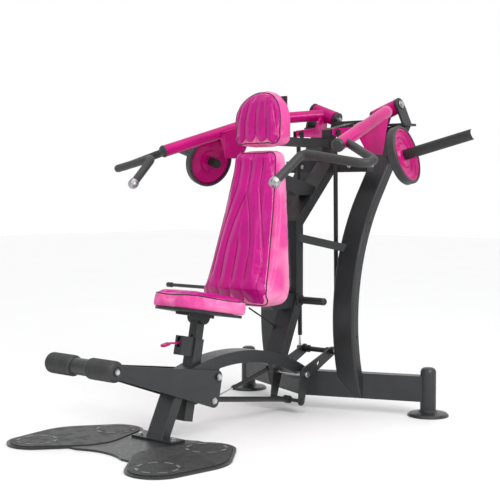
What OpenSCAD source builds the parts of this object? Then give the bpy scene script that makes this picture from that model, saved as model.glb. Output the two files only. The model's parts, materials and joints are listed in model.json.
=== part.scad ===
// Plate-loaded shoulder press with a leg-operated start assist.
// +Z up, the user faces -Y, the user's left hand is on +X. Millimetres.
// The left-hand pieces are modelled on +X and mirrored for the right.

/* [Arms] */
// Outer diameter of the press arm tubes
arm_d = 60; // [50:1:76]
// Outer diameter of the pivot housings
housing_d = 76; // [70:1:90]
// Length of each pivot housing
housing_l = 140; // [110:1:160]
// Tilt of each pivot axis, outer end up
pivot_tilt = 20; // [0:1:30]
// Diameter of the pivot shafts
shaft_d = 30; // [20:1:35]
// Handle tube diameter over its grip
grip_d = 39; // [30:1:45]

/* [Load horns] */
// Diameter of the sleeves that take the weight plates
horn_d = 50; // [28:1:50]
// Length of each sleeve outside its plate stop
horn_l = 333; // [200:5:420]
// Outer diameter of the tyre round each plate stop
tyre_d = 276; // [200:2:320]
// Diameter of the dished plate stop
dish_d = 250; // [180:2:300]

/* [Frame] */
// Width of the spine beam, the column and the front post
beam_w = 100; // [80:1:120]
// Depth of those three members
beam_t = 52; // [40:1:60]
// Width of each curved upright
leg_w = 127; // [80:1:140]
// Depth of each curved upright
leg_t = 56; // [40:1:70]
// Distance from the centre plane to the middle of an upright
leg_x = 234; // [200:1:260]
// Distance from the centre plane to each rear foot
foot_x = 583; // [500:1:600]
// Height of the base bars
bar_h = 125; // [80:1:140]

/* [Seat and pads] */
// Width of the seat at its back edge
seat_w = 390; // [300:5:450]
// Depth of the seat
seat_l = 311; // [280:1:420]
// Thickness of the seat cushion
seat_t = 70; // [40:1:90]
// Fall of the seat towards the back
seat_tilt = 10.5; // [0:0.5:15]
// Lean of the seat post
post_lean = 12; // [0:0.5:20]
// Thickness of the head cushion
head_t = 98; // [60:1:110]

/* [Leg assist] */
// Diameter of the foam foot rollers
roller_d = 88; // [70:1:110]
// Length of each foot roller
roller_l = 158; // [120:1:220]
// Outer diameter of the two lift tubes
lift_d = 22; // [16:1:28]
// Diameter of the push rod
push_d = 26; // [20:1:30]

/* [Hidden] */
$fn = 96;
eps = 0.01;
tuck = 0.05;           // how far joining lines sit inside their circles' tangents
origin_y = 17;       // the origin lies under the middle of the machine
paint_grey = [0.24, 0.25, 0.26];
paint_pink = [0.86, 0.16, 0.56];
vinyl_pink = [0.78, 0.13, 0.52];
rubber_black = [0.07, 0.07, 0.07];
alu = [0.78, 0.78, 0.8];
zinc = [0.7, 0.7, 0.72];

// Arm: cap end, bend, and the middle of the pivot housing.
arm_a = [545, 70, 1296];
arm_b = [402, 645, 1475];
piv = [200, 955, 1508];
piv_ax = [cos(pivot_tilt), 0, sin(pivot_tilt)];
piv_up = [-sin(pivot_tilt), 0, cos(pivot_tilt)];
// Plate stop and the direction of its horn.
stop_c = [628, 478, 1262];
horn_ax = unit([0.95, 0.18, 0.26]);
// Top and bottom eyes of the lift struts.
eye_top = [118, 618, 1390];
ball_r = 10;          // ball of the strut's upper joint
eye_low = [118, 634, 283];
// Leg linkage pivots, [y, z].
lev_p = [-188, 252];
lev_q = [-212, 145];
hub_p = [-926, 378];
crk_p = [412, 192];
crk_q = [385, 62];
crk_r = [634, 283];
dmp_p = [200, 240];
crk_x = 88;
lev_x = 58;
// Spine beam arc: centre, radius of its top face.
arch_c = [-40, -699];
arch_r = 1051;
// Upright arc: centre and radius of its front face.
bow_c = [1603, 460];
bow_r = 1080;
bow_top = 35.5;
leg_top_z = 1430;
post_lean_f = 26.5;
seat_y = -280;
seat_z = 630;
seat_front = 150;
bridge_z = 1222;

// ---- vector helpers ----
function unit(v) = v / norm(v);
function lerp(a, b, t) = a + (b - a) * t;
function cross_of(d) = abs(d.z) < 0.9 ? unit(cross([0, 0, 1], d)) : unit(cross([1, 0, 0], d));

module body() translate([0, -origin_y, 0]) children();
module frame(o, ex, ey, ez)
    multmatrix([[ex.x, ey.x, ez.x, o.x], [ex.y, ey.y, ez.y, o.y],
                [ex.z, ey.z, ez.z, o.z], [0, 0, 0, 1]]) children();
// Children's z axis turned to direction d at point o.
module along(o, d) {
    ez = unit(d);
    ex = cross_of(ez);
    frame(o, ex, cross(ez, ex), ez) children();
}
module rod(a, b, r) along(a, b - a) cylinder(r = r, h = norm(b - a));
// Drawing plane turned so that x is +Y and y is +Z; extrudes about X = 0.
module side(w, x = 0) translate([x - w / 2, 0, 0]) rotate([90, 0, 90])
    linear_extrude(w) children();
module xrod(p, r, x0, x1) translate([x0, p[0], p[1]]) rotate([0, 90, 0])
    cylinder(r = r, h = x1 - x0);
// Tube along a polyline with true bends of radius br, built from one end to the other.
module pipe(pts, br, r) {
    n = len(pts);
    d = [for (i = [0:n - 2]) unit(pts[i + 1] - pts[i])];
    ax = [for (i = [0:n - 3]) unit(cross(d[i], d[i + 1]))];
    turn = [for (i = [0:n - 3]) acos(d[i] * d[i + 1])];
    roll = [for (i = [0:n - 3]) i == 0 ? 0 : atan2(cross(ax[i - 1], ax[i]) * d[i], ax[i - 1] * ax[i])];
    cut = [for (i = [0:n - 1]) i == 0 || i == n - 1 ? 0 : br * tan(turn[i - 1] / 2)];
    run = [for (i = [0:n - 2]) norm(pts[i + 1] - pts[i]) - cut[i] - cut[i + 1]];
    frame(pts[0], cross(ax[0], d[0]), ax[0], d[0]) pipe_run(0, run, turn, roll, br, r);
}
module pipe_run(i, run, turn, roll, br, r) {
    cylinder(r = r, h = run[i]);
    if (i < len(turn)) translate([0, 0, run[i]]) rotate(roll[i]) {
        // the bend runs 1.5 degrees into both straights and stands 0.1 mm proud
        frame([br, 0, 0], [-1, 0, 0], [0, 0, 1], [0, 1, 0]) rotate(-1.5)
            rotate_extrude(angle = turn[i] + 3) translate([br, 0]) circle(r + 0.1);
        translate([br, 0, 0]) rotate([0, turn[i], 0]) translate([-br, 0, 0])
            pipe_run(i + 1, run, turn, roll, br, r);
    }
}
// 2D strip of width w along a mitred centre line.
module strip(pts, w) {
    n = len(pts);
    d = [for (i = [0:n - 2]) unit(pts[i + 1] - pts[i])];
    m = [for (i = [0:n - 1]) let (a = d[max(i - 1, 0)], b = d[min(i, n - 2)],
        s = unit(a + b)) [-s.y, s.x] * (w / 2) / (s * a)];
    polygon(concat([for (i = [0:n - 1]) pts[i] + m[i]],
                   [for (i = [n - 1:-1:0]) pts[i] - m[i]]));
}
// Rectangle with true round corners, centred.
module rrect(w, h, r) {
    square([w - 2 * r, h], center = true);
    square([w, h - 2 * r], center = true);
    for (x = [-1, 1], y = [-1, 1]) translate([x * (w / 2 - r), y * (h / 2 - r)]) circle(r);
}
// Circles c with radii r, in counter-clockwise order, joined by lines just inside their outer tangents.
module loop(c, r) {
    n = len(c);
    for (i = [0:n - 1]) if (len([for (j = [0:1:i - 1]) if (c[j] == c[i]) j]) == 0)
        translate(c[i]) circle(r[i]);
    polygon([for (i = [0:n - 1]) let (j = (i + 1) % n, v = c[j] - c[i],
        a = atan2(v.y, v.x) - acos((r[i] - r[j]) / norm(v)), u = [cos(a), sin(a)])
        each [c[i] + (r[i] - tuck) * u, c[j] + (r[j] - tuck) * u]]);
}
module pill(a, ra, b, rb) loop([a, b], [ra, rb]);
module hex_bolt(p, d, s = 19, h = 9) along(p, d) {
    cylinder(d = s * 1.35, h = 2.5);
    cylinder(d = s * 1.1, h = h, $fn = 6);
}
module both() { children(); mirror([1, 0, 0]) children(); }

// ---- base ----
// Foot-plate lobe as three circles joined by tangents: toe, middle, heel.
lobe_c = [[375, -873], [322, -685], [285, -500]];
lobe_r = [130, 208, 126];
module lobe(h, c, r) linear_extrude(h) loop([c[0], c[1], c[2], c[1]], [r[0], r[1], r[2], r[1]]);
module foot_plate() color(paint_grey) body() {
    for (m = [0, 1]) mirror([m, 0, 0]) lobe(10, lobe_c, lobe_r);
    difference() {
        translate([-240, -850, 0]) cube([480, 440, 10]);
        translate([0, -1115, -1]) cylinder(r = 300, h = 12);
        translate([0, -150, -1]) cylinder(r = 300, h = 12);
    }
}
module foot_mats() color(rubber_black) body() for (m = [0, 1]) mirror([m, 0, 0]) {
    translate([0, 0, 10]) lobe(4, [[373, -874], [316, -685], [286, -501]], [116, 198, 112]);
    for (c = [lobe_c[0], lobe_c[2]], i = [0:7]) translate([c.x, c.y, 13.5])
        rotate(45 * i) rotate_extrude(angle = 27) translate([78, 0]) square([12, 2]);
}
module front_post() color(paint_grey) body() {
    intersection() {
        translate([0, -518, 0]) rotate([-post_lean_f, 0, 0])
            linear_extrude(420) rrect(beam_w, beam_t, 8);
        translate([-60, -700, 10]) cube([120, 500, 400]);
        side(140) translate(arch_c) circle(arch_r - 58, $fn = 360);
    }
    difference() {
        translate([-125, -548, 10]) cube([250, 82, 10]);
        for (s = [-1, 1]) translate([s * 101, -516, 0]) cylinder(d = 13, h = 40);
        translate([0, -518, 0]) rotate([-post_lean_f, 0, 0]) translate([0, 0, -20])
            linear_extrude(80) square([beam_w, beam_t], center = true);
    }
}
module arch2d(r0, r1) difference() {
    translate(arch_c) circle(r1, $fn = 360);
    translate(arch_c) circle(r0, $fn = 360);
}
module spine_beam() color(paint_grey) body() difference() {
    union() {
        side(beam_w) intersection() {
            arch2d(arch_r - 58, arch_r);
            polygon([[-440, 207], [490, 60], [490, 500], [-293, 500]]);
        }
        // lug and pin of the damper
        side(5, 47.5) pill([200, 268], 16, dmp_p, 14);
        xrod(dmp_p, 6, 24, 46);
    }
    // socket that the seat sleeve passes through
    sleeve_shape(0.3);
    xrod(crk_p, 12.5 + 0.02, -80, 80);
    side(140) polygon([[468, 60], [560, 60], [560, 260], [468, 260]]);
}
module sleeve_frame() translate([0, -277, 432.4]) rotate([-post_lean, 0, 0]) children();
module sleeve_shape(g = 0) sleeve_frame() translate([-30 - g, -21.5 - g, -371])
    cube([60 + 2 * g, 54 + 2 * g, 371]);
module seat_sleeve() color(paint_grey) body() {
    difference() {
        union() {
            sleeve_shape();
            sleeve_frame() translate([-22, -97, -84]) cube([44, 77, 86]);
        }
        sleeve_frame() translate([-22.7, -18.2, -380]) cube([45.4, 47.4, 400]);
        // slot of the latch
        sleeve_frame() translate([-9, -110, -50]) cube([18, 66, 70]);
    }
    sleeve_frame() translate([-12, latch_p[0], latch_p[1]]) rotate([0, 90, 0]) cylinder(r = 3, h = 24);
}
latch_p = [-84, -30];
module back_column() color(paint_grey) body() difference() {
    column_shape();
    side(200) translate(arch_c) circle(arch_r, $fn = 360);
    // saddle for the top bridge
    translate([0, 722, bridge_z]) cube([400, 60, 60], center = true);
}
module bar_shape(x0 = 0) {
    d = unit([foot_x, 233, 0]);
    difference() {
        translate([0, 524, 70]) rotate(atan2(d.y, d.x)) translate([-60, -30, 0])
            cube([norm([foot_x, 233]) + 60, 60, bar_h]);
        translate([-200, 300, 0]) cube([200, 600, 300]);
        translate([foot_x, 757, 0]) cylinder(d = 77, h = 300);
    }
}
module base_bar() color(paint_grey) body() difference() {
    bar_shape();
    upright_shape();
}
module base_bar_left() base_bar();
module base_bar_right() mirror([1, 0, 0]) base_bar();
module rear_foot() color(paint_grey) body() translate([foot_x, 757, 0]) {
    rotate_extrude() polygon([[0, 0], [100, 0], [100, 6], [92, 14], [50, 22], [38.5, 30],
        [38.5, 218], [33, 230], [22, 236], [0, 237]]);
}
module rear_foot_left() rear_foot();
module rear_foot_right() mirror([1, 0, 0]) rear_foot();
module upright_shape() {
    a0 = -21;
    rm = bow_r - leg_t / 2;
    a1 = bow_top;
    p1 = [leg_x, bow_c[0] - rm * cos(a1), bow_c[1] + rm * sin(a1)];
    up = [0, sin(a1), cos(a1)];
    intersection() {
        union() {
            frame([leg_x, bow_c[0], bow_c[1]], [0, -cos(a0), sin(a0)],
                    [0, sin(a0), cos(a0)], [-1, 0, 0])
                rotate_extrude(angle = a1 - a0) translate([rm, 0]) rrect(leg_t, leg_w, 12);
            frame(p1, [1, 0, 0], cross(up, [1, 0, 0]), up)
                linear_extrude(480) rrect(leg_w, leg_t, 12);
        }
        translate([0, 300, 75]) cube([400, 900, leg_top_z - 75]);
    }
}
module upright() color(paint_grey) body() difference() {
    upright_shape();
    for (p = [[leg_x + leg_w / 2, 556, 380], [leg_x + leg_w / 2, 664, 938]])
        translate(p - [3, 0, 0]) rotate([0, 90, 0]) cylinder(d = 14, h = 10);
}
module upright_left() upright();
module upright_right() mirror([1, 0, 0]) upright();
module cross_bars() color(paint_grey) body() difference() {
    a = [30, 422, 868];
    d = unit([150, 160, -50]);
    ex = unit(cross([0, 0, 1], d));
    both() frame(a, ex, cross(d, ex), d) linear_extrude(250) square(40, center = true);
    both() upright_shape();
    column_shape();
}
module top_bridge() color(paint_grey) body() difference() {
    translate([-260, 692, bridge_z - 30]) cube([520, 60, 60]);
    both() upright_shape();
}
module yoke() color(paint_grey) body() difference() {
    union() {
        side(56) strip([[722, bridge_z + 30], [722, 1392], [955, 1440]], 46);
        translate([-134, 925, 1405]) cube([268, 60, 62]);
        both() inner_cheek();
    }
    both() along(piv, piv_ax) cylinder(d = shaft_d, h = 400, center = true);
}
module inner_cheek() frame(piv - piv_ax * 88, [0, 1, 0], piv_up, piv_ax)
    linear_extrude(12) pill([0, 0], 37, [0, -46], 30);
module pivot_plate() color(paint_grey) body() difference() {
    union() {
        difference() {
            frame(piv + piv_ax * 76, [0, 1, 0], piv_up, piv_ax) linear_extrude(12)
                pill([0, 0], 38, [10, -98], 38);
            translate([100, 800, leg_top_z - 194]) cube([400, 400, 200]);
        }
        translate([215, 925, leg_top_z]) cube([110, 110, 12]);
    }
    along(piv, piv_ax) cylinder(d = shaft_d, h = 400, center = true);
}
module pivot_plate_left() pivot_plate();
module pivot_plate_right() mirror([1, 0, 0]) pivot_plate();
module pivot_shaft() color(zinc) body() {
    rod(piv - piv_ax * 100, piv + piv_ax * 92, shaft_d / 2);
    hex_bolt(piv + piv_ax * 91, piv_ax, 30, 10);
}
module pivot_shaft_left() pivot_shaft();
module pivot_shaft_right() mirror([1, 0, 0]) pivot_shaft();
module storage_peg() color(paint_grey) body() translate([beam_w / 2, 420, 558])
    rotate([0, 90, 0]) rotate_extrude()
        polygon([[0, 0], [30, 0], [30, 6], [18, 6], [18, 152], [14, 158], [0, 158]]);
module rack_bar() color(paint_grey) body() {
    xrod([238, 606], 9, -670, -40);
    xrod([238, 606], 13, -692, -660);
    translate([-47, 226, 540]) cube([12, 24, 84]);
}
module back_bracket() color(paint_grey) body() difference() {
    side(70) {
        polygon([[rear_y(680) + 16, 680], [rear_y(560) + 16, 560], [240, 520], [380, 520], [400, 560],
            [400, 590], [300, 600]]);
        polygon([[rear_y(1150) + 16, 1150], [rear_y(1200) + 16, 1200], [240, 1200], [560, 1120],
            [520, 1075], [420, 1075]]);
    }
    column_shape();
}
module column_shape() side(beam_w) strip([[272, 230], [420, 560], [420, 940], [706, 1229]], beam_t);
module head_bracket() color(paint_grey) body() difference() {
    union() {
        translate([-24, 155 + head_t, 1316]) cube([48, 544 - head_t, 44]);
        translate([-40, 151 + head_t, 1316]) cube([80, 8, 154]);
    }
    translate([0, 722, 1340]) cube([60, 46, 200], center = true);
}
// ---- pads: front faces lean back, the rear faces stand upright ----
back_rear = 206;   // rear face at the top
back_slope = 0.052; // and how fast it comes forward on the way down
function rear_y(z) = back_rear - back_slope * (1288 - z);
module back2d(half_low, half_top, z0, z1, r) loop(
    [[r - half_low, z0 + r], [half_low - r, z0 + r], [half_top - r, z1 - r], [r - half_top, z1 - r]],
    [r, r, r, r]);
module front_of() translate([0, 400, 0]) rotate([90, 0, 0]) linear_extrude(600) children();
module back_pad() color(vinyl_pink) body() intersection() {
    front_of() back2d(205, 138, 552, 1288, 46);
    side(600) polygon([[0, 545], [-40, 615], [44, 930], [118, 1200], [134, 1300],
        [rear_y(1300), 1300], [rear_y(640), 640], [135, 545]]);
}
module back_board() color(rubber_black) body() {
    intersection() {
        front_of() back2d(185, 120, 620, 1270, 40);
        side(600) polygon([[rear_y(600) + 0.3, 600], [rear_y(600) + 16, 600],
            [rear_y(1300) + 16, 1300], [rear_y(1300) + 0.3, 1300]]);
    }
    translate([-110, 139 + head_t, 1316]) cube([220, 12, 230]);
}
module head2d() {
    intersection() {
        translate([0, 1424]) circle(149);
        translate([-160, 1400]) square([320, 200]);
    }
    translate([-149, 1345]) square([298, 80]);
    translate([-109, 1305]) square([218, 80]);
    for (s = [-1, 1]) translate([s * 109, 1345]) circle(40);
}
module head_pad() color(vinyl_pink) body() intersection() {
    front_of() head2d();
    translate([-300, 139, 1200]) cube([600, head_t - 0.3, 500]);
    // the face curls back towards its top
    side(400) union() {
        translate([139 + 330, 1400]) circle(330);
        translate([139, 1200]) square([330, 200]);
    }
}
module stay_rod() color(paint_grey) body() difference() {
    union() {
        rod([-46, 340, 431], [-46, 150, 532], 4);
        rod([-46, 320, 424], [-46, 342, 433], 9);
    }
    column_shape();
}
module crank_shaft() color(zinc) body() {
    xrod(crk_p, 12.5, -104, 104);
    for (s = [-1, 1]) hex_bolt([s * 104, crk_p[0], crk_p[1]], [s, 0, 0], 24, 9);
}
module lever_shaft() color(paint_grey) body() {
    xrod(lev_p, 24, -50, 50);
    xrod(lev_p, 10, -70, 70);
    difference() {
        side(70) polygon([[-232, 310], [-214, 252], [-164, 252], [-128, 310]]);
        side(80) arch2d(arch_r - 58, 1400);
        sleeve_shape(0.5);
    }
}
module frame_bolts() color(zinc) body() {
    for (s = [-1, 1]) hex_bolt([s * 101, -516, 20], [0, 0, 1], 20, 9);
    for (s = [-1, 1]) hex_bolt([s * 70, lev_p[0], lev_p[1]], [s, 0, 0], 22, 9);
    for (x = [150, 290], m = [-1, 1]) hex_bolt([m * x, 692, bridge_z], [0, -1, 0], 16, 7);
}
// ---- seat ----
module post_bar() sleeve_frame() translate([-22.5, -18, -240]) cube([45, 47, 400]);
module seat_post() color(paint_grey) body() difference() {
    post_bar();
    for (i = [0:5]) sleeve_frame() translate([0, -30, 10 - i * 38]) rotate([-90, 0, 0])
        cylinder(d = 11, h = 30);
    on_seat() translate([-100, -200, -12]) cube([200, 400, 200]);
}
module on_seat() translate([0, seat_y, seat_z]) rotate([-seat_tilt, 0, 0])
    translate([0, 0, -seat_t]) children();
module seat2d(g = 0) {
    f = [seat_front - 100, 100 - seat_l / 2];
    b = [seat_w / 2 - 28, seat_l / 2 - 28];
    loop([[-f.x, f.y], f, b, [-b.x, b.y]], [100 - g, 100 - g, 28 - g, 28 - g]);
}
module seat_pad() color(vinyl_pink) body() on_seat() translate([0, 0, 0.3])
    linear_extrude(seat_t - 0.3) seat2d();
module seat_board() color(rubber_black) body() difference() {
    on_seat() union() {
        translate([0, 0, -12]) linear_extrude(12) seat2d(10);
        translate([-40, -60, -26]) cube([80, 170, 15]);
        translate([-40, 50, -24]) rotate([0, 90, 0]) cylinder(r = 34, h = 80);
    }
    on_seat() translate([-100, -100, 0]) cube([200, 300, 60]);
    post_bar();
}
module latch_lever() color(paint_pink) body() sleeve_frame() translate([0, latch_p[0], latch_p[1]]) {
    difference() {
        union() {
            rotate([0, 90, 0]) cylinder(d = 17, h = 14, center = true);
            rotate([8, 0, 0]) translate([-6, -84, -4]) cube([12, 80, 8]);
        }
        rotate([0, 90, 0]) cylinder(r = 3.05, h = 30, center = true);
    }
    rotate([22, 0, 0]) translate([0, -92, 12]) linear_extrude(10) rrect(28, 44, 9);
}
// ---- leg linkage ----
module lever_plate(s) intersection() {
    side(400) loop([hub_p, lev_q, lev_p], [13, 31, 29]);
    translate([0, 0, -50]) linear_extrude(600)
        strip([[s * lev_x, -100], [s * lev_x, -470], [s * 34, -1000]], 8);
}
module foot_lever() color(paint_grey) body() difference() {
    union() {
        for (s = [-1, 1]) lever_plate(s);
        xrod(hub_p, 35, -45, 45);
        xrod(lev_q, 9, -lev_x - 4, lev_x + 4);
    }
    xrod(hub_p, 10, -300, 300);
    xrod(lev_p, 10.05, -200, 200);
}
module roller_axle() color(zinc) body() {
    xrod(hub_p, 10, -48 - roller_l, 48 + roller_l);
    for (s = [-1, 1]) hex_bolt([s * (47.5 + roller_l), hub_p[0], hub_p[1]], [s, 0, 0], 17, 7);
    for (s = [-1, 1]) hex_bolt([s * (lev_x + 4), lev_q[0], lev_q[1]], [s, 0, 0], 22, 9);
}
module roller() color(rubber_black) body() translate([47, hub_p[0], hub_p[1]])
    rotate([0, 90, 0]) difference() {
        rotate_extrude() polygon([[0, 0], [roller_d / 2 - 5, 0], [roller_d / 2, 5],
            [roller_d / 2, roller_l - 14], [roller_d / 2 - 5, roller_l - 4],
            [roller_d / 2 - 14, roller_l], [0, roller_l]]);
        translate([0, 0, -1]) cylinder(r = 10.05, h = roller_l + 2);
    }
module roller_left() roller();
module roller_right() mirror([1, 0, 0]) roller();
module crank_plate(s) difference() {
    side(8, s * crk_x) union() {
        pill(crk_p, 34, crk_q, 22);
        pill(crk_p, 34, crk_r, 24);
    }
    xrod(crk_p, 12.55, -200, 200);
    side(40, s * crk_x) pill([515, 232], 8, [522, 240], 8);
}
module bell_crank() color(paint_grey) body() {
    for (s = [-1, 1]) crank_plate(s);
    xrod(crk_q, 9, -crk_x - 12, crk_x + 12);
    for (s = [-1, 1]) hex_bolt([s * (crk_x + 4), crk_q[0], crk_q[1]], [s, 0, 0], 22, 9);
    xrod(crk_r, 13, -108, 108);
    for (s = [-1, 1]) xrod(crk_r, 19, min(s * 56, s * 84), max(s * 56, s * 84));
}
module yz_rod(a, b, r, x = 0) rod([x, a[0], a[1]], [x, b[0], b[1]], r);
module push_rod() color(paint_grey) body() difference() {
    d = unit(crk_q - lev_q);
    union() {
        yz_rod(lev_q + d * 14, crk_q - d * 14, push_d / 2);
        for (p = [lev_q, crk_q]) xrod(p, 19, -17, 17);
    }
    for (p = [lev_q, crk_q]) xrod(p, p == lev_q ? 9.05 : 10.5, -40, 40);
}
dmp_x = 34;
module damper_cylinder() color(rubber_black) body() difference() {
    d = unit(lev_q - dmp_p);
    union() {
        yz_rod(dmp_p + d * 10, dmp_p + d * 262, 9.5, dmp_x);
        xrod(dmp_p, 13, dmp_x - 8, dmp_x + 8);
    }
    yz_rod(dmp_p + d * 60, dmp_p + d * 270, 5, dmp_x);
    xrod(dmp_p, 6.05, 0, 80);
}
module damper_rod() color(alu) body() difference() {
    d = unit(lev_q - dmp_p);
    union() {
        yz_rod(dmp_p + d * 150, lev_q - d * 10, 4, dmp_x);
        xrod(lev_q, 15, dmp_x - 7, dmp_x + 7);
    }
    xrod(lev_q, 10.5, 0, 80);
}
// ---- arms ----
module arm_solid() {
    pipe([arm_a, arm_b, piv + [2, -6, 0]], 150, arm_d / 2);
    along(piv, piv_ax) cylinder(d = housing_d, h = housing_l, center = true);
}
module arm() color(paint_pink) body() difference() {
    union() {
        arm_solid();
        lever_bar();
        bracket();
    }
    along(piv, piv_ax) cylinder(d = shaft_d + 0.1, h = 400, center = true);
    rod(stop_c - horn_ax * 200, stop_c, horn_core);
}
// Crank that the lift strut pushes on.
// Cross pin of radius r and half length h with a ball on it, at the strut's upper joint.
module ball_pin(r, h, ball) translate(eye_top) rotate([0, 90, 0]) rotate_extrude() {
    translate([0, -h]) square([r, 2 * h]);
    intersection() {
        circle(ball);
        translate([0, -ball]) square([ball + 1, 2 * ball]);
    }
}
module lever_bar() {
    q = [200, 945, 1390];
    ex = unit([q.x - eye_top.x, q.y - eye_top.y, 0]);
    l = norm([q.x - eye_top.x, q.y - eye_top.y]);
    difference() {
        frame([eye_top.x, eye_top.y, 0], ex, [0, 0, 1], cross(ex, [0, 0, 1]))
            translate([0, 0, -7]) linear_extrude(14)
                polygon([[-16, 1374], [l - 20, 1384], [l + 14, 1440], [l + 34, 1490],
                    [l - 60, 1490], [l - 110, 1432], [-16, 1406]]);
        ball_pin(9, 60, ball_r + 0.05);
    }
}
// Tapered box that carries the plate stop below the arm.
module bracket() intersection() {
    side(900) polygon([[372, 1400], [604, 1470], [560, 1300], [528, 1212], [430, 1212],
        [412, 1300]]);
    rotate([90, 0, 0]) translate([0, 0, -700]) linear_extrude(400)
        polygon([[395, 1420], [455, 1440], [640, 1300], [617, 1212], [470, 1212]]);
    translate(stop_c - horn_ax * 35) frame([0, 0, 0], cross_of(horn_ax),
        cross(horn_ax, cross_of(horn_ax)), horn_ax)
        translate([-500, -500, -500]) cube([1000, 1000, 500]);
}
module arm_left() arm();
module arm_right() mirror([1, 0, 0]) arm();
horn_core = horn_d / 2 - 1; // radius inside the dish and the arm
module stop_frame() along(stop_c, horn_ax) children();
module stop_disc() color(paint_pink) body() stop_frame() rotate_extrude()
    polygon([[horn_core, -35], [58, -35], [62, -24], [dish_d / 2 - 8, -24], [dish_d / 2, -20],
        [dish_d / 2, 6], [dish_d / 2 - 8, 8], [dish_d / 2 - 16, -4], [dish_d / 2 - 34, -6],
        [dish_d / 2 - 44, -14], [62, -14], [52, -4], [horn_core, -4]]);
module stop_left() stop_disc();
module stop_right() mirror([1, 0, 0]) stop_disc();
module tyre() color(rubber_black) body() stop_frame() rotate_extrude()
    polygon([[dish_d / 2, -34], [tyre_d / 2 - 5, -34], [tyre_d / 2, -28], [tyre_d / 2, 4],
        [tyre_d / 2 - 4, 9], [dish_d / 2, 9]]);
module tyre_left() tyre();
module tyre_right() mirror([1, 0, 0]) tyre();
module horn() color(alu) body() stop_frame() rotate_extrude()
    polygon([[0, -90], [horn_core, -90], [horn_core, -3], [horn_d / 2, -3], [horn_d / 2, horn_l - 5],
        [horn_d / 2 - 5, horn_l], [0, horn_l]]);
module horn_left() horn();
module horn_right() mirror([1, 0, 0]) horn();
// Handle: where it leaves the arm, its three bends, and its free end.
grip = [arm_a + 75 * unit(arm_b - arm_a), [772, 22, 1224], [772, -50, 1208], [468, -84, 1257],
    [441, -228, 1139]];
module handle() color(rubber_black) body() difference() {
    pipe(grip, 34, grip_d / 2);
    rod(arm_a, arm_b, arm_d / 2);
}
module handle_left() handle();
module handle_right() mirror([1, 0, 0]) handle();
module handle_cap() color(alu) body() along(grip[4], grip[4] - grip[3])
    rotate_extrude() polygon([[0, 0], [24, 0], [25, 4], [25, 18], [20, 30], [12, 35], [0, 37]]);
module handle_cap_left() handle_cap();
module handle_cap_right() mirror([1, 0, 0]) handle_cap();
module arm_cap() color(paint_grey) body() along(arm_a, arm_a - arm_b)
    rotate_extrude() polygon([[0, 0], [31, 0], [31, 6], [24, 15], [12, 19], [0, 20]]);
module arm_cap_left() arm_cap();
module arm_cap_right() mirror([1, 0, 0]) arm_cap();
// ---- lift struts ----
strut_d = unit(eye_low - eye_top);
module lift_tube() color(rubber_black) body() difference() {
    union() {
        rod(eye_top + strut_d * 30, eye_top + strut_d * 1040, lift_d / 2);
        for (s = [-1, 1]) translate([eye_top.x + s * 22 - 3, eye_top.y - 12, eye_top.z - 34])
            cube([6, 24, 48]);
        translate(eye_top + [-25, -12, -46]) cube([50, 24, 14]);
        ball_pin(5, 28, ball_r);
    }
    rod(eye_top + strut_d * 200, eye_top + strut_d * 1060, 7);
}
module lift_tube_left() lift_tube();
module lift_tube_right() mirror([1, 0, 0]) lift_tube();
module lift_rod() color(alu) body() difference() {
    union() {
        rod(eye_top + strut_d * 560, eye_low - strut_d * 12, 6.5);
        xrod([eye_low.y, eye_low.z], 20, eye_low.x - 7, eye_low.x + 7);
        hex_bolt(eye_low + [6, 0, 0], [1, 0, 0], 19, 8);
    }
    xrod([eye_low.y, eye_low.z], 10, eye_low.x - 20, eye_low.x + 1);
}
module lift_rod_left() lift_rod();
module lift_rod_right() mirror([1, 0, 0]) lift_rod();

foot_plate();
foot_mats();
front_post();
spine_beam();
seat_sleeve();
back_column();
base_bar_left();
base_bar_right();
rear_foot_left();
rear_foot_right();
upright_left();
upright_right();
cross_bars();
top_bridge();
yoke();
pivot_plate_left();
pivot_plate_right();
pivot_shaft_left();
pivot_shaft_right();
storage_peg();
rack_bar();
back_bracket();
head_bracket();
back_board();
back_pad();
head_pad();
stay_rod();
crank_shaft();
lever_shaft();
frame_bolts();
seat_post();
seat_board();
seat_pad();
latch_lever();
foot_lever();
roller_axle();
roller_left();
roller_right();
bell_crank();
push_rod();
damper_cylinder();
damper_rod();
arm_left();
stop_left();
tyre_left();
horn_left();
handle_left();
handle_cap_left();
arm_cap_left();
lift_tube_left();
lift_rod_left();
arm_right();
stop_right();
tyre_right();
horn_right();
handle_right();
handle_cap_right();
arm_cap_right();
lift_tube_right();
lift_rod_right();
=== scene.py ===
"""Looks of the plate-loaded shoulder press: materials, upholstery, foam rollers, light and camera."""

import json
import math

import bmesh
import bpy
import numpy as np
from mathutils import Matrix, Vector
from mathutils.bvhtree import BVHTree


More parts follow.
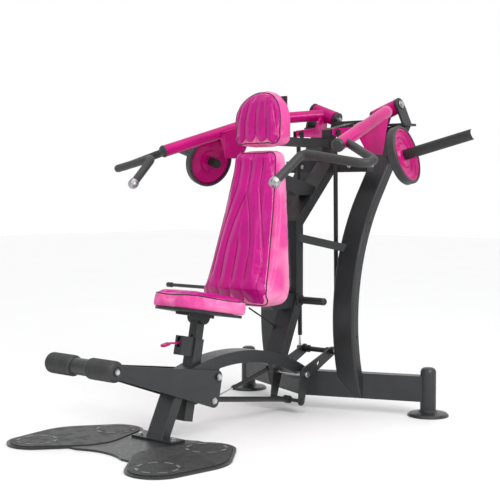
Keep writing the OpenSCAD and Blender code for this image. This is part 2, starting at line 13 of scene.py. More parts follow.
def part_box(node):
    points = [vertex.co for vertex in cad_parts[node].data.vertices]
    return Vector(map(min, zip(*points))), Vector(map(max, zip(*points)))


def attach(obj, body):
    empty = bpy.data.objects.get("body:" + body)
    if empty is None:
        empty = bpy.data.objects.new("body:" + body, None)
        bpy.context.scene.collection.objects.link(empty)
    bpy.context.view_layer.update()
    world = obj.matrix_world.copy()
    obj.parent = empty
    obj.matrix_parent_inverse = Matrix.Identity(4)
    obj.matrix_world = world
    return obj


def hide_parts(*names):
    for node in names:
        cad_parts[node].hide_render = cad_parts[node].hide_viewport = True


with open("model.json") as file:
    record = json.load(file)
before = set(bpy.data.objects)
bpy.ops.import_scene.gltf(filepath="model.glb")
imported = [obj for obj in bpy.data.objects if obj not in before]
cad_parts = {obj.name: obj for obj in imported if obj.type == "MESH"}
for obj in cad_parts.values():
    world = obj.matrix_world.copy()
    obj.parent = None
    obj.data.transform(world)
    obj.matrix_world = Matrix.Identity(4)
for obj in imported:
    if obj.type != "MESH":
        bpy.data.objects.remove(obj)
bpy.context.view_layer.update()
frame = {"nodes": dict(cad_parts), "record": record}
NODES = frame["nodes"]
MM = 0.001


# ---------------------------------------------------------------- node helpers
class Shader:
    """A Principled material with the few procedural parts used here."""

    def __init__(self, name, color, rough, metal=0.0, **inputs):
        self.mat = bpy.data.materials.new(name)
        self.mat.use_nodes = True
        self.tree = self.mat.node_tree
        self.bsdf = self.tree.nodes["Principled BSDF"]
        self.set("Base Color", (*color, 1.0))
        self.set("Roughness", rough)
        self.set("Metallic", metal)
        for key, value in inputs.items():
            self.set(key.replace("_", " "), value)
        coords = self.tree.nodes.new("ShaderNodeTexCoord")
        self.object_space = coords.outputs["Object"]
        self.mat.diffuse_color = (*color, 1.0)

    def set(self, socket, value):
        self.bsdf.inputs[socket].default_value = value

    def link(self, a, b):
        self.tree.links.new(a, b)

    def new(self, kind, **props):
        node = self.tree.nodes.new(kind)
        for key, value in props.items():
            setattr(node, key, value)
        return node

    def mapped(self, scale):
        node = self.new("ShaderNodeMapping")
        node.inputs["Scale"].default_value = scale
        self.link(self.object_space, node.inputs["Vector"])
        return node.outputs["Vector"]

    def noise(self, scale, detail=3.0, rough=0.55, stretch=None):
        node = self.new("ShaderNodeTexNoise")
        node.inputs["Scale"].default_value = scale
        node.inputs["Detail"].default_value = detail
        node.inputs["Roughness"].default_value = rough
        self.link(self.mapped(stretch) if stretch else self.object_space, node.inputs["Vector"])
        return node.outputs["Fac"]

    def cells(self, scale, feature="F1"):
        node = self.new("ShaderNodeTexVoronoi", feature=feature)
        node.inputs["Scale"].default_value = scale
        self.link(self.object_space, node.inputs["Vector"])
        return node.outputs["Distance"]

    def math(self, operation, a, b, c=None):
        node = self.new("ShaderNodeMath", operation=operation)
        for i, value in enumerate((a, b, c)):
            if value is None:
                continue
            if isinstance(value, (int, float)):
                node.inputs[i].default_value = value
            else:
                self.link(value, node.inputs[i])
        return node.outputs[0]

    def span(self, fac, low, high, to_low=0.0, to_high=1.0):
        node = self.new("ShaderNodeMapRange")
        ends = {"From Min": low, "From Max": high, "To Min": to_low, "To Max": to_high}
        for name, value in ends.items():
            node.inputs[name].default_value = value
        self.link(fac, node.inputs["Value"])
        return node.outputs["Result"]

    def mix(self, fac, a, b):
        node = self.new("ShaderNodeMix", data_type="RGBA")
        self.link(fac, node.inputs[0])
        for socket, value in ((node.inputs[6], a), (node.inputs[7], b)):
            if isinstance(value, tuple):
                socket.default_value = (*value, 1.0)
            else:
                self.link(value, socket)
        return node.outputs[2]

    def color(self, value):
        self.link(value, self.bsdf.inputs["Base Color"])

    def rough(self, fac, low, high):
        """Roughness from low to high over the middle of fac, where most noise lies."""
        self.link(self.span(fac, 0.3, 0.7, low, high), self.bsdf.inputs["Roughness"])

    def relief(self, heights, round_edges=None):
        """heights: (fac, distance in metres) from coarse to fine; round_edges in metres."""
        normal = None
        if round_edges:
            bevel = self.new("ShaderNodeBevel", samples=4)
            bevel.inputs["Radius"].default_value = round_edges
            normal = bevel.outputs["Normal"]
        for fac, distance in heights:
            bump = self.new("ShaderNodeBump")
            bump.inputs["Strength"].default_value = 1.0
            bump.inputs["Distance"].default_value = distance
            self.link(fac, bump.inputs["Height"])
            if normal:
                self.link(normal, bump.inputs["Normal"])
            normal = bump.outputs["Normal"]
        self.link(normal, self.bsdf.inputs["Normal"])


def shade(color, k):
    return tuple(min(1.0, c * k) for c in color)


def worn_paint(name, color, rough, metal, edge=0.0, flake=0.25, peel=0.00012, **inputs):
    """Sprayed metallic paint: flake sparkle, orange peel, slow tone drift, and edges painted lighter in
    patches, partly rubbed wear and partly a painted highlight.
    """
    s = Shader(name, color, rough, metal, **inputs)
    drift = s.span(s.noise(5.0, 4.0), 0.35, 0.65)
    fleck = s.span(s.cells(1500.0), 0.1, 0.7)
    tone = s.mix(drift, shade(color, 0.86), shade(color, 1.16))
    tone = s.mix(s.math("MULTIPLY", fleck, flake), tone, shade(color, 1.7))
    # edges painted lighter in noisy patches: partly rubbed wear, partly a painted highlight along the edges
    if edge:
        bevel = s.new("ShaderNodeBevel", samples=4)
        bevel.inputs["Radius"].default_value = 0.004
        geo = s.new("ShaderNodeNewGeometry")
        dot = s.new("ShaderNodeVectorMath", operation="DOT_PRODUCT")
        s.link(bevel.outputs["Normal"], dot.inputs[0])
        s.link(geo.outputs["Normal"], dot.inputs[1])
        edge_wear_and_highlight = s.span(dot.outputs["Value"], 0.985, 0.90)
        edge_wear_and_highlight = s.math("MULTIPLY", edge_wear_and_highlight, s.span(s.noise(38.0, 5.0), 0.38, 0.62, 0.15, 1.0))
        tone = s.mix(s.math("MULTIPLY", edge_wear_and_highlight, edge), tone, shade(color, 3.0))
    s.color(tone)
    s.rough(s.noise(60.0, 4.0), rough * 0.82, rough * 1.2)
    s.relief([(s.noise(420.0, 2.0), peel)], round_edges=0.0022)
    return s.mat


def vinyl(name, color, rough=0.34, painted_sheen=None):
    """Upholstery vinyl: pebbled grain, faint creases and a slow change of tone; painted_sheen, when given,
    paints lighter patches of sheen into the colour.
    """
    s = Shader(name, color, rough, Coat_Weight=0.18, Coat_Roughness=0.10, Specular_IOR_Level=0.22)
    drift = s.span(s.noise(7.0, 5.0, 0.6), 0.32, 0.68)
    grain = s.cells(620.0, "SMOOTH_F1")
    creases = s.noise(30.0, 6.0, 0.62, stretch=(1.0, 1.0, 0.35))
    tone = s.mix(drift, shade(color, 0.84), shade(color, 1.14))
    # optional painted sheen: lighter patches that stand in for the light on the panel
    if painted_sheen:
        tone = s.mix(s.span(s.noise(4.5, 2.0), 0.42, 0.60), tone, painted_sheen)
    s.color(s.mix(s.span(grain, 0.25, 0.75, 0.0, 0.2), tone, shade(color, 0.62)))
    s.rough(s.noise(90.0, 4.0), rough * 0.8, rough * 1.25)
    s.relief([(creases, 0.0004), (s.math("SUBTRACT", 1.0, grain), 0.00022)])
    return s.mat


def turned(name, color, rough, stretch, metal=1.0, fine=0.00006, **inputs):
    """Turned or drawn metal with fine streaks along one direction."""
    s = Shader(name, color, rough, metal, **inputs)
    streak = s.noise(6.0, 8.0, 0.7, stretch=stretch)
    stain = s.span(s.noise(14.0, 4.0), 0.4, 0.7)
    tone = s.mix(s.span(streak, 0.35, 0.65), shade(color, 0.75), shade(color, 1.2))
    s.color(s.mix(s.math("MULTIPLY", stain, 0.3), tone, shade(color, 0.55)))
    s.rough(s.noise(40.0, 5.0), rough * 0.75, rough * 1.3)
    s.relief([(streak, fine)], round_edges=0.0008)
    return s.mat


def rubber(name, color, rough, grain=900.0, depth=0.0002):
    """Moulded rubber or plastic: pebbled skin, dusty lighter patches."""
    s = Shader(name, color, rough, Specular_IOR_Level=0.4)
    dust = s.span(s.noise(16.0, 6.0, 0.65), 0.42, 0.75)
    cells = s.cells(grain, "SMOOTH_F1")
    tone = s.mix(s.span(cells, 0.2, 0.8), shade(color, 1.2), shade(color, 0.7))
    s.color(s.mix(s.math("MULTIPLY", dust, 0.45), tone, shade(color, 1.9)))
    s.rough(s.noise(70.0, 4.0), rough * 0.88, rough * 1.12)
    s.relief([(cells, depth), (s.noise(240.0, 3.0), depth * 0.6)], round_edges=0.0012)
    return s.mat


def mat_rubber():
    """Foot mats: ribbed dark rubber, with the raised dashes printed light grey."""
    base = (0.024, 0.025, 0.025)
    s = Shader("mat_rubber", base, 0.6)
    position = s.new("ShaderNodeSeparateXYZ")
    s.link(s.object_space, position.inputs[0])
    dash = s.span(position.outputs["Z"], 0.0146, 0.0152)
    weave = s.new("ShaderNodeTexWave", wave_type="BANDS", bands_direction="DIAGONAL")
    weave.inputs["Scale"].default_value = 90.0
    s.link(s.object_space, weave.inputs["Vector"])
    scuff = s.span(s.noise(20.0, 6.0, 0.65), 0.4, 0.7)
    tone = s.mix(s.math("MULTIPLY", scuff, 0.6), base, shade(base, 2.6))
    light = s.mix(scuff, (0.20, 0.20, 0.20), (0.11, 0.11, 0.11))
    s.color(s.mix(dash, tone, light))
    s.rough(scuff, 0.5, 0.75)
    s.relief([(weave.outputs["Fac"], 0.0004), (s.noise(500.0, 2.0), 0.0002)])
    return s.mat


def floor_material():
    s = Shader("studio_floor", (0.86, 0.86, 0.86), 0.55)
    tone = s.mix(s.noise(1.5, 3.0), (0.85, 0.85, 0.855), (0.88, 0.88, 0.88))
    s.color(tone)
    s.relief([(s.noise(160.0, 3.0), 0.0001)])
    return s.mat


BRIGHT_FROM = 2.8 * MM  # the bright end begins this far past the full-width sleeve


def horn_steel():
    """Dark turned sleeve with a bright machined end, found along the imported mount's axis."""
    mount = next(m for m in frame["record"]["mounts"] if m["name"] == "horn_left")
    axis = Vector(mount["axis"])
    end_at = axis.dot(Vector(mount["pos_m"])) + mount["dims"]["length_mm"] * MM / 2 + BRIGHT_FROM
    s = Shader("horn_steel", (0.020, 0.020, 0.021), 0.45, 0.15)
    mirror = s.new("ShaderNodeVectorMath", operation="ABSOLUTE")
    s.link(s.object_space, mirror.inputs[0])
    along = s.new("ShaderNodeVectorMath", operation="DOT_PRODUCT")
    s.link(mirror.outputs["Vector"], along.inputs[0])
    along.inputs[1].default_value = axis
    end = s.span(along.outputs["Value"], end_at - 0.5 * MM, end_at + 0.5 * MM)
    streak = s.noise(6.0, 8.0, 0.7, stretch=(1.0, 30.0, 30.0))
    tone = s.mix(s.span(streak, 0.35, 0.65), (0.014, 0.014, 0.015), (0.026, 0.026, 0.027))
    light = s.mix(s.span(streak, 0.35, 0.65), (0.60, 0.60, 0.61), (0.78, 0.78, 0.79))
    s.color(s.mix(end, tone, light))
    s.rough(s.noise(40.0, 5.0), 0.34, 0.52)
    s.relief([(streak, 0.00005)], round_edges=0.001)
    return s.mat


GREY = (0.029, 0.0305, 0.032)
PINK = (0.50, 0.001, 0.168)
SLOTS = {
    "frame_paint": worn_paint("frame_paint", GREY, 0.40, 0.3, edge=0.35,
                              Specular_IOR_Level=0.45, Coat_Weight=0.12, Coat_Roughness=0.25),
    "arm_paint": worn_paint("arm_paint", PINK, 0.34, 0.05, flake=0.0, peel=0.00004,
                            Specular_IOR_Level=0.12, Coat_Weight=0.20, Coat_Roughness=0.06),
    "board": rubber("board", (0.018, 0.018, 0.020), 0.5, 700.0, 0.00015),
    "black_rubber": rubber("black_rubber", (0.030, 0.0305, 0.031), 0.46, 850.0, 0.00025),
    "mat_rubber": mat_rubber(),
    "horn_steel": horn_steel(),
    "zinc": turned("zinc", (0.62, 0.62, 0.64), 0.30, (20.0, 20.0, 20.0)),
    "rod_chrome": turned("rod_chrome", (0.75, 0.75, 0.77), 0.16, (40.0, 40.0, 1.0), fine=0.00002),
    "alu": turned("alu", (0.42, 0.42, 0.43), 0.34, (60.0, 60.0, 60.0)),
    "cap_plastic": rubber("cap_plastic", (0.030, 0.031, 0.032), 0.42, 600.0, 0.0001),
}
# one vinyl in two copies: the side panels get a lighter, paler copy with a painted sheen, standing in for the
# light falling on them
VINYL_FRONT = vinyl("vinyl_front", (0.50, 0.002, 0.215))
VINYL_SIDE_PAINTED_LIGHT = vinyl("vinyl_side_painted_light", (0.76, 0.07, 0.33), 0.42, (0.92, 0.27, 0.50))
PIPING = rubber("piping", (0.020, 0.018, 0.022), 0.45, 1200.0, 0.0001)

record = frame["record"]
slot_of = {p["node"]: p.get("material_slot", p["node"]) for p in record["subparts"]}
for name, obj in NODES.items():
    material = SLOTS.get(slot_of[name])
    if material:
        obj.data.materials.clear()
        obj.data.materials.append(material)


# ---------------------------------------------------------------- mesh helpers
def link(name, mesh):
    obj = bpy.data.objects.new(name, mesh)
    bpy.context.scene.collection.objects.link(obj)
    return obj


def coords(mesh):
    co = np.empty(len(mesh.vertices) * 3)
    mesh.vertices.foreach_get("co", co)
    return co.reshape(-1, 3)


def set_coords(mesh, co):
    mesh.vertices.foreach_set("co", np.ascontiguousarray(co, dtype=float).ravel())
    mesh.update()


def normals(mesh):
    n = np.empty(len(mesh.vertices) * 3)
    mesh.vertices.foreach_get("normal", n)
    return n.reshape(-1, 3)


def evaluated(obj):
    deps = bpy.context.evaluated_depsgraph_get()
    return bpy.data.meshes.new_from_object(obj.evaluated_get(deps))


def bake_modifiers(obj):
    mesh = evaluated(obj)
    obj.modifiers.clear()
    obj.data = mesh


def smooth_shade(mesh):
    mesh.polygons.foreach_set("use_smooth", [True] * len(mesh.polygons))


def step(a, b, x):
    t = np.clip((x - a) / (b - a), 0.0, 1.0)
    return t * t * (3 - 2 * t)


def lathe(name, profile, segments=96):
    """Closed surface of revolution about X from (x, radius) points that start and end on the axis."""
    bm = bmesh.new()
    rings = []
    for x, r in profile:
        if r < 1e-9:
            rings.append([bm.verts.new((x, 0, 0))])
        else:
            rings.append([bm.verts.new((x, r * math.cos(a), r * math.sin(a)))
                          for a in np.linspace(0, 2 * math.pi, segments, endpoint=False)])
    for p, q in zip(rings, rings[1:]):
        for i in range(segments):
            j = (i + 1) % segments
            if len(p) == 1:
                bm.faces.new((p[0], q[i], q[j]))
            elif len(q) == 1:
                bm.faces.new((p[i], q[0], p[j]))
            else:
                bm.faces.new((p[i], q[i], q[j], p[j]))
    bmesh.ops.recalc_face_normals(bm, faces=bm.faces)
    mesh = bpy.data.meshes.new(name)
    bm.to_mesh(mesh)
    bm.free()
    smooth_shade(mesh)
    return link(name, mesh)


def tube(name, path, radius, sides=10):
    """Round tube along a closed path of points; its twist is spread so that the ends meet."""
    p = np.asarray(path, float)
    n = len(p)
    t = np.roll(p, -1, 0) - np.roll(p, 1, 0)
    t /= np.linalg.norm(t, axis=1)[:, None]
    u = np.cross(t[0], (0.3, 0.5, 0.81))
    us = []
    for i in range(n):
        u = u - t[i] * (u @ t[i])
        u /= np.linalg.norm(u)
        us.append(u)
    end = us[-1] - t[0] * (us[-1] @ t[0])
    end /= np.linalg.norm(end)
    twist = math.atan2(np.cross(end, us[0]) @ t[0], end @ us[0])
    verts = []
    for i in range(n):
        v = np.cross(t[i], us[i])
        for a in np.linspace(0, 2 * math.pi, sides, endpoint=False) + twist * i / n:
            verts.append(tuple(p[i] + radius * (math.cos(a) * us[i] + math.sin(a) * v)))
    faces = []
    for i in range(n):
        k = (i + 1) % n
        for a in range(sides):
            b = (a + 1) % sides
            faces.append((i * sides + a, i * sides + b, k * sides + b, k * sides + a))
    mesh = bpy.data.meshes.new(name)
    mesh.from_pydata(verts, [], faces)
    smooth_shade(mesh)
    return link(name, mesh)


def rounded_loop(circles, n_arc=14):
    """Points round the outline of circles (x, y, r) joined by their outer tangents, evenly spaced."""
    pts = []
    n = len(circles)
    tangents = []
    for i in range(n):
        (ax, ay, ar), (bx, by, br) = circles[i], circles[(i + 1) % n]
        d = math.hypot(bx - ax, by - ay)
        tangents.append(math.atan2(by - ay, bx - ax) - math.acos((ar - br) / d))
    for i in range(n):
        x, y, r = circles[i]
        a0, a1 = tangents[i - 1], tangents[i]
        while a1 < a0:
            a1 += 2 * math.pi
        for a in np.linspace(a0, a1, n_arc):
            pts.append((x + r * math.cos(a), y + r * math.sin(a)))
    return even(np.array(pts), 0.006)


def even(pts, spacing):
    """Closed polyline resampled at even spacing."""
    loop = np.vstack([pts, pts[:1]])
    seg = np.linalg.norm(np.diff(loop, axis=0), axis=1)
    s = np.concatenate([[0], np.cumsum(seg)])
    keep = np.concatenate([[True], seg > 1e-7])
    loop, s = loop[keep], s[keep]
    n = int(s[-1] / spacing)
    q = np.linspace(0, s[-1], n, endpoint=False)
    return np.stack([np.interp(q, s, loop[:, k]) for k in range(loop.shape[1])], 1)


# ---------------------------------------------------------------- upholstery
ORIGIN_Y = 17 * MM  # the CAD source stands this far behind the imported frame
INSET = 8 * MM  # a pad starts this much smaller across, because it swells
CLOTH_FRAMES = 20
PIPING_R = 2.9 * MM
PIPING_RISE = 0.8 * MM  # how far the piping's centre stands off the vinyl
HELD = 10 * MM  # depth of the layer held flat against the board


class Pad:
    """One cushion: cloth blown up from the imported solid, then fitted back to its size."""

    def __init__(self, node, body, voxel, cap, out, back):
        """out is the way the sewn face points; back picks the points held flat against the board."""
        self.node, self.body, self.cap = node, body, cap
        self.out = np.array(out, float)
        self.axes = np.array([(1, 0, 0), np.cross(self.out, (1, 0, 0)), self.out])
        mesh = NODES[node].data.copy()
        self.obj = link(node.replace("pad", "cushion"), mesh)
        low, high = (np.array(v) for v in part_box(node))
        mid = (low + high) / 2
        size = high - low
        co = coords(mesh)
        set_coords(mesh, mid + (co - mid) * (size - INSET) / size - self.out * MM)
        remesh = self.obj.modifiers.new("remesh", "REMESH")
        remesh.mode = "VOXEL"
        remesh.voxel_size = voxel
        bake_modifiers(self.obj)
        relax(self.obj.data, 6)
        self.start = coords(self.obj.data)
        self.rest_side = back(self.start)
        self.add_cloth()

    def add_cloth(self):
        group = self.obj.vertex_groups.new(name="held")
        group.add([int(i) for i in np.nonzero(self.rest_side)[0]], 1.0, "ADD")
        cloth = self.obj.modifiers.new("cloth", "CLOTH")
        cloth.settings.quality = 5
        cloth.settings.mass = 0.3
        cloth.settings.use_pressure = True
        cloth.settings.uniform_pressure_force = 4.0
        cloth.settings.vertex_group_mass = "held"
        cloth.settings.tension_stiffness = 12
        cloth.settings.bending_stiffness = 0.6
        cloth.settings.effector_weights.gravity = 0.0
        cloth.collision_settings.use_collision = False
        cloth.point_cache.frame_start = 1
        cloth.point_cache.frame_end = CLOTH_FRAMES

    def settle(self):
        """Takes the simulated shape, held to the cap, and refines it."""
        if self.obj.modifiers:
            swollen = evaluated(self.obj)
            move = coords(swollen) - self.start
            length = np.linalg.norm(move, axis=1)[:, None]
            move *= np.minimum(1.0, self.cap / np.maximum(length, 1e-9))
            self.obj.modifiers.clear()
            set_coords(self.obj.data, self.start + move)
            bpy.data.meshes.remove(swollen)
        else:
            push = normals(self.obj.data) * self.cap * 0.6
            push[self.rest_side] = 0
            set_coords(self.obj.data, self.start + push)
        relax(self.obj.data, 2)
        self.fit()
        sub = self.obj.modifiers.new("sub", "SUBSURF")
        sub.levels = sub.render_levels = 2
        bake_modifiers(self.obj)

    def fit(self):
        """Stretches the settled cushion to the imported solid's size, along the pad's own axes."""
        target = coords(NODES[self.node].data) @ self.axes.T
        now = coords(self.obj.data) @ self.axes.T
        low, high = target.min(0), target.max(0)
        now = low + (now - now.min(0)) / np.ptp(now, axis=0) * (high - low)
        set_coords(self.obj.data, now @ self.axes)


def relax(mesh, rounds):
    bm = bmesh.new()
    bm.from_mesh(mesh)
    for _ in range(rounds):
        bmesh.ops.smooth_vert(bm, verts=bm.verts, factor=0.5,
                              use_axis_x=True, use_axis_y=True, use_axis_z=True)
    bm.to_mesh(mesh)
    bm.free()


def channel_relief(u, v, grooves, depth, width, puff, reach):
    """Height over a panel at (u, v): puffed between grooves, cut along them.

    Each groove is a list of (v, u) points; it fades in and out at its ends.
    """
    near = np.full(len(u), 9.0)
    cut = np.zeros(len(u))
    for line in grooves:
        line = np.array(sorted(line))
        gu = np.interp(v, line[:, 0], line[:, 1])
        middle = (line[:-1, 0] + line[1:, 0]) / 2
        slope = np.interp(v, middle, np.diff(line[:, 1]) / np.diff(line[:, 0]))
        d = np.abs(u - gu) / np.sqrt(1 + slope**2)
        first, last = line[0, 0], line[-1, 0]
        ends = step(first - 0.012, first + 0.05, v) * (1 - step(last - 0.04, last + 0.012, v))
        cut = np.maximum(cut, np.exp(-((d / width) ** 2)) * ends)
        near = np.minimum(near, d + (1 - ends) * reach)
    return puff * (1 - np.exp(-((near / reach) ** 2))) - depth * cut


def channel(bottom, top, low, high, bend, power):
    """A groove from bottom to top: u holds at low, then eases to high between the two heights of bend."""
    v = np.linspace(bottom, top, 60)
    t = np.clip((v - bend[0]) / (bend[1] - bend[0]), 0, 1)
    return list(zip(v, low + (high - low) * t**power))


def mirrored(lines):
    return lines + [[(v, -u) for v, u in line] for line in lines]


def dress(pad, seam, depth_of, seam_depth):
    """Splits front vinyl from the side vinyl, a lighter copy with painted light, at the seam depth and lays
    the piping on the seam.
    """
    mesh = pad.obj.data
    mesh.materials.clear()
    mesh.materials.append(VINYL_FRONT)
    mesh.materials.append(VINYL_SIDE_PAINTED_LIGHT)
    centres = np.empty(len(mesh.polygons) * 3)
    mesh.polygons.foreach_get("center", centres)
    depth = depth_of(centres.reshape(-1, 3))
    mesh.polygons.foreach_set("material_index", (depth > seam_depth).astype(np.int32))
    smooth_shade(mesh)
    mesh.update()
    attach(pad.obj, pad.body)
    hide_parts(pad.node)
    tree = BVHTree.FromObject(pad.obj, bpy.context.evaluated_depsgraph_get())
    path = []
    for point in seam:
        hit = tree.find_nearest(Vector(point))
        path.append(np.array(hit[0]) + np.array(hit[1]) * PIPING_RISE)
    path = np.array(path)
    for _ in range(4):
        path = (np.roll(path, 1, 0) + 2 * path + np.roll(path, -1, 0)) / 4
    welt = tube(pad.node.replace("pad", "piping"), path, PIPING_R)
    welt.data.materials.append(PIPING)
    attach(welt, pad.body)


def read_off(z, rows):
    """The value at height z from rows of (height, value) in millimetres."""
    heights, values = np.array(rows).T
    return np.interp(z, heights * MM, values * MM)


# ---------------------------------------------------------------- back cushion
BACK_FRONT = [(545, 0), (615, -40), (930, 44), (1200, 118), (1300, 134)]  # height, y of the front face
BACK_HALF = [(552, 165), (598, 205), (1242, 138), (1288, 100)]  # height, half width
BACK_CROWN = [(600, 20), (750, 26), (1000, 24), (1240, 8)]  # height, fall of the front at the sides
BACK_TOP = 1.288
BACK_REAR = 0.206  # y of the rear face at the top, and how fast it comes forward below
BACK_REAR_SLOPE = 0.052
BACK_BELLY = 5 * MM
BACK_CORNERS = (-0.159, 0.598), (0.159, 0.598), (0.092, 1.242), (-0.092, 1.242)
SEAM_DEPTH = 6 * MM


def back_face(z):
    return read_off(z, BACK_FRONT) - ORIGIN_Y


def back_rear(z):
    return BACK_REAR - BACK_REAR_SLOPE * (BACK_TOP - z) - ORIGIN_Y


def back_crown(x, z):
    """How far the front falls back towards its sides."""
    return read_off(z, BACK_CROWN) * np.clip(np.abs(x) / read_off(z, BACK_HALF), 0, 1.05) ** 2.2


def back_depth(co):
    return co[:, 1] - back_face(co[:, 2]) - back_crown(co[:, 0], co[:, 2])


def back_grooves():
    centre = [(0.650, 0), (0.880, 0)]
    inner = channel(0.650, 1.266, 0.075, 0.003, (0.79, 1.085), 1.7)
    middle = channel(0.655, 1.260, 0.147, 0.070, (0.76, 1.12), 1.2)
    outer = channel(0.660, 1.255, 0.186, 0.108, (0.66, 1.255), 1.5)
    return [centre] + mirrored([inner, middle, outer])


def shape_back(pad):
    mesh = pad.obj.data
    co, n = coords(mesh), normals(mesh)
    x, y, z = co.T
    depth = y - back_face(z)
    front = 1 - step(0.0, 0.09, depth)
    facing = step(0.25, 0.7, -n[:, 1])
    off_side = 1 - step(0.80, 0.99, np.abs(x) / read_off(z, BACK_HALF))
    relief = channel_relief(x, z, back_grooves(),
                            depth=8 * MM, width=3.6 * MM, puff=6.5 * MM, reach=24 * MM)
    belly = step(0.3, 0.9, np.abs(n[:, 0])) * np.sin(np.pi * np.clip((depth - 0.01) / 0.17, 0, 1))
    co[:, 1] += front * back_crown(x, z) - facing * relief * off_side
    co[:, 0] += np.sign(x) * belly * BACK_BELLY
    set_coords(mesh, co)


def back_seam():
    x, z = rounded_loop([(*corner, 0.044) for corner in BACK_CORNERS]).T
    return np.stack([x, back_face(z) + back_crown(x, z) + SEAM_DEPTH, z], 1)


# ---------------------------------------------------------------- head cushion
HEAD_MID = 1.424  # height of the round top's centre
HEAD_HALF = 0.149
HEAD_FACE = 0.139  # y of the front face below the bulge's start
HEAD_BULGE_FROM = 1.400
HEAD_CROWN = 10 * MM
HEAD_BULGE_R = 0.330
HEAD_FOOT_R = 0.038  # corners at the foot of the seam


def head_front(z):
    t = np.clip(z - HEAD_BULGE_FROM, 0, 0.2)
    return HEAD_FACE - ORIGIN_Y + HEAD_BULGE_R - np.sqrt(HEAD_BULGE_R**2 - t**2)


def head_crown(x):
    return HEAD_CROWN * np.clip(np.abs(x) / HEAD_HALF, 0, 1) ** 2


def head_depth(co):
    return co[:, 1] - head_front(co[:, 2]) - head_crown(co[:, 0])


def head_grooves():
    inner = channel(1.305, 1.535, 0.067, 0.048, (1.42, 1.535), 1)
    outer = channel(1.315, 1.50, 0.117, 0.098, (1.42, 1.50), 1)
    return [[(1.305, 0), (1.545, 0)]] + mirrored([inner, outer])


def shape_head(pad):
    mesh = pad.obj.data
    co, n = coords(mesh), normals(mesh)
    x, y, z = co.T
    facing = step(0.25, 0.7, -n[:, 1])
    rim = np.hypot(x, np.maximum(z - HEAD_MID, 0)) / HEAD_HALF
    relief = channel_relief(x, z, head_grooves(),
                            depth=6.5 * MM, width=3.4 * MM, puff=5.5 * MM, reach=20 * MM)
    front = 1 - step(0.0, 0.07, y - (HEAD_FACE - ORIGIN_Y))
    co[:, 1] += head_crown(x) * front - facing * relief * (1 - step(0.84, 1.0, rim))
    set_coords(mesh, co)


def head_seam():
    half = HEAD_HALF - 2 * MM
    foot = 1.345
    over = [(half * math.cos(a), HEAD_MID + half * math.sin(a)) for a in np.linspace(0, math.pi, 60)]
    under = [(-half, foot)]
    for a in np.linspace(math.pi, 1.5 * math.pi, 9):
        under.append((-half + HEAD_FOOT_R * (1 + math.cos(a)), foot + HEAD_FOOT_R * math.sin(a)))
    under += [(-x, z) for x, z in under[::-1]]
    x, z = even(np.array(over + under), 0.005).T
    return np.stack([x, head_front(z) + head_crown(x) + SEAM_DEPTH, z], 1)


# ---------------------------------------------------------------- seat cushion
SEAT_MID = np.array((0, -0.280 - ORIGIN_Y, 0.630))
SEAT_TILT = math.radians(10.5)
SEAT_BACKWARDS = np.array((0, math.cos(SEAT_TILT), -math.sin(SEAT_TILT)))
SEAT_UP = np.array((0, math.sin(SEAT_TILT), math.cos(SEAT_TILT)))
SEAT_HALF = 0.155  # half its length
SEAT_WIDTHS = 0.150, 0.195  # half widths at the front and the rear
SEAT_CROWN = 16 * MM
SEAT_BELLY = 3.2 * MM
SEAT_RIPPLE = 2.4 * MM
SEAT_UNDERSIDE = -60 * MM


def seat_height(co):
    return (co - SEAT_MID) @ SEAT_UP


def seat_depth(co):
    return -seat_height(co)


def shape_seat(pad):
    mesh = pad.obj.data
    co, n = coords(mesh), normals(mesh)
    u, w, h = co[:, 0], (co - SEAT_MID) @ SEAT_BACKWARDS, seat_height(co)
    hw = np.interp(w, [-SEAT_HALF, SEAT_HALF], SEAT_WIDTHS)
    rim = np.maximum(np.abs(u) / hw, np.abs(w) / SEAT_HALF)
    rise = step(-0.05, -0.005, h) * SEAT_CROWN * (1 - np.clip(rim, 0, 1) ** 2.4)
    flat = n - np.outer(n @ SEAT_UP, SEAT_UP)
    side = step(0.5, 0.95, np.linalg.norm(flat, axis=1))
    along = np.arctan2(w * 1.2, u) * 0.19
    ripple = np.sin(along * 2 * np.pi / 0.118 + 0.6) + 0.4 * np.sin(along * 2 * np.pi / 0.05 + 2.0)
    belly = np.sin(np.pi * np.clip(-h / 0.07, 0, 1))
    bulge = side * belly * (SEAT_BELLY + SEAT_RIPPLE * ripple)
    co += np.outer(rise, SEAT_UP) + flat * bulge[:, None]
    set_coords(mesh, co)


def seat_seam():
    front = [(x, -0.055, 0.098) for x in (-0.050, 0.050)]
    rear = [(x, 0.127, 0.026) for x in (0.167, -0.167)]
    x, w = rounded_loop(front + rear).T
    return SEAT_MID + np.outer(x, (1, 0, 0)) + np.outer(w, SEAT_BACKWARDS) - 5 * MM * SEAT_UP


# ---------------------------------------------------------------- cushions, made together
HEAD_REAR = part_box("head_pad")[1].y
back = Pad("back_pad", "frame", 6 * MM, 10 * MM, (0, -1, 0), lambda co: co[:, 1] > back_rear(co[:, 2]) - HELD)
head = Pad("head_pad", "frame", 5 * MM, 9 * MM, (0, -1, 0), lambda co: co[:, 1] > HEAD_REAR - HELD)
seat = Pad("seat_pad", "seat", 5 * MM, 9 * MM, SEAT_UP, lambda co: seat_height(co) < SEAT_UNDERSIDE)
for f in range(1, CLOTH_FRAMES + 1):
    bpy.context.scene.frame_set(f)
for pad in (back, head, seat):
    pad.settle()
bpy.context.scene.frame_set(1)

shape_back(back)
shape_head(head)
shape_seat(seat)
dress(back, back_seam(), back_depth, 10 * MM)
dress(head, head_seam(), head_depth, 9 * MM)
dress(seat, seat_seam(), seat_depth, 8 * MM)


# ---------------------------------------------------------------- foam rollers
RIB_PITCH = 8 * MM
RIB_DEPTH = 1.1 * MM


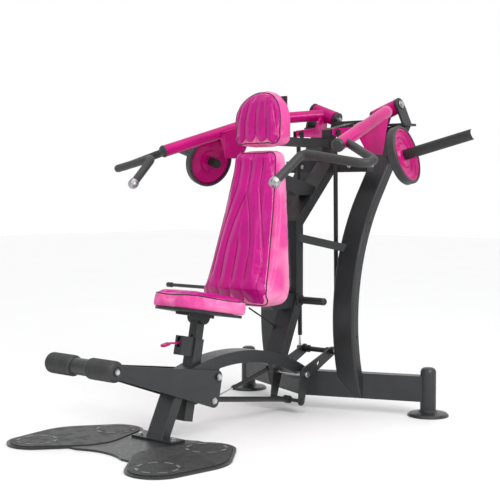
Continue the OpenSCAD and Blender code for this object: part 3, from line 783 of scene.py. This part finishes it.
def roller(side):
    """Foam sleeve with shallow ribs, rounded ends and a shallow recess in its outer end."""
    node = "roller_" + side
    low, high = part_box(node)
    length, radius = high.x - low.x, (high.z - low.z) / 2
    ribbed = length - 0.030
    steps = int(ribbed / RIB_PITCH) * 4
    body = []
    for i in range(steps + 1):
        wave = RIB_DEPTH * (math.cos(i * math.pi / 2) - 1)
        body.append((0.013 + ribbed * i / steps, radius + wave))
    inner = [(0.0, 0.0), (0.0, 0.020), (0.0, radius - 0.012), (0.0015, radius - 0.006),
             (0.006, radius - 0.0015)]
    outer = [(length - 0.010, radius - 0.0012), (length - 0.004, radius - 0.005),
             (length - 0.0008, radius - 0.011), (length, radius - 0.016),
             (length - 0.0002, 0.024), (length - 0.0012, 0.0215), (length - 0.004, 0.0200),
             (length - 0.0042, 0.0125), (length - 0.0042, 0.0)]
    obj = lathe("foam_roller_" + side, inner + body + outer, 80)
    flip = 1 if side == "left" else -1
    co = coords(obj.data)
    co[:, 0] *= flip
    co += np.array((low.x if flip > 0 else high.x, (low.y + high.y) / 2, (low.z + high.z) / 2))
    if flip < 0:
        obj.data.flip_normals()
    set_coords(obj.data, co)
    obj.data.materials.append(SLOTS["black_rubber"])
    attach(obj, node)
    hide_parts(node)


roller("left")
roller("right")

# ---------------------------------------------------------------- studio
CAMERA_AT = (3.465, -3.85 - ORIGIN_Y, 1.083)
CAMERA_AZIMUTH = 41.2257
CAMERA_PITCH = 2.9104
CAMERA_ROLL = 0.036
AIM = (0, 0, 0.9)

bpy.ops.mesh.primitive_plane_add(size=40, location=(0, 0, 0))
floor = bpy.context.object
floor.name = "studio_floor"
floor.data.materials.append(floor_material())

world = bpy.data.worlds.new("studio")
bpy.context.scene.world = world
world.use_nodes = True
sky = world.node_tree
azimuth = math.radians(CAMERA_AZIMUTH)
coord = sky.nodes.new("ShaderNodeTexCoord")
behind = sky.nodes.new("ShaderNodeVectorMath")
behind.operation = "DOT_PRODUCT"
behind.inputs[1].default_value = (-math.sin(azimuth), math.cos(azimuth), 0.0)
sky.links.new(coord.outputs["Generated"], behind.inputs[0])
falloff = sky.nodes.new("ShaderNodeMapRange")
for key, value in (("From Min", -0.2), ("From Max", 0.7), ("To Min", 0.48), ("To Max", 1.0)):
    falloff.inputs[key].default_value = value
sky.links.new(behind.outputs["Value"], falloff.inputs["Value"])
sky.links.new(falloff.outputs["Result"], sky.nodes["Background"].inputs["Strength"])
sky.nodes["Background"].inputs["Color"].default_value = (1.0, 1.0, 1.0, 1.0)


def softbox(name, place, size, power):
    """Rectangular area light, aimed at the middle of the machine."""
    light = bpy.data.lights.new(name, "AREA")
    light.shape = "RECTANGLE"
    light.size, light.size_y = size
    light.energy = power
    obj = bpy.data.objects.new(name, light)
    bpy.context.scene.collection.objects.link(obj)
    obj.location = place
    obj.rotation_euler = (Vector(AIM) - Vector(place)).to_track_quat("-Z", "Y").to_euler()


softbox("key", (4.2, -0.6, 3.2), (1.4, 2.4), 105)
softbox("front", (0.6, -4.6, 2.6), (0.8, 2.6), 20)
softbox("left", (-4.0, -1.5, 2.2), (1.2, 2.4), 5)
overhead = bpy.data.objects.new("overhead", bpy.data.lights.new("overhead", "SUN"))
bpy.context.scene.collection.objects.link(overhead)
overhead.data.energy = 1.5
overhead.data.angle = 1.2
overhead.rotation_euler = (0.25, 0.30, 0.0)

camera = bpy.data.objects.new("camera", bpy.data.cameras.new("camera"))
bpy.context.scene.collection.objects.link(camera)
camera.location = CAMERA_AT
camera.rotation_euler = (math.radians(90 - CAMERA_PITCH), math.radians(CAMERA_ROLL), azimuth)
camera.data.lens = 79.78
camera.data.sensor_width = 36
camera.data.clip_end = 200
bpy.context.scene.camera = camera
bpy.context.scene.view_settings.view_transform = "Standard"

bpy.context.view_layer.update()
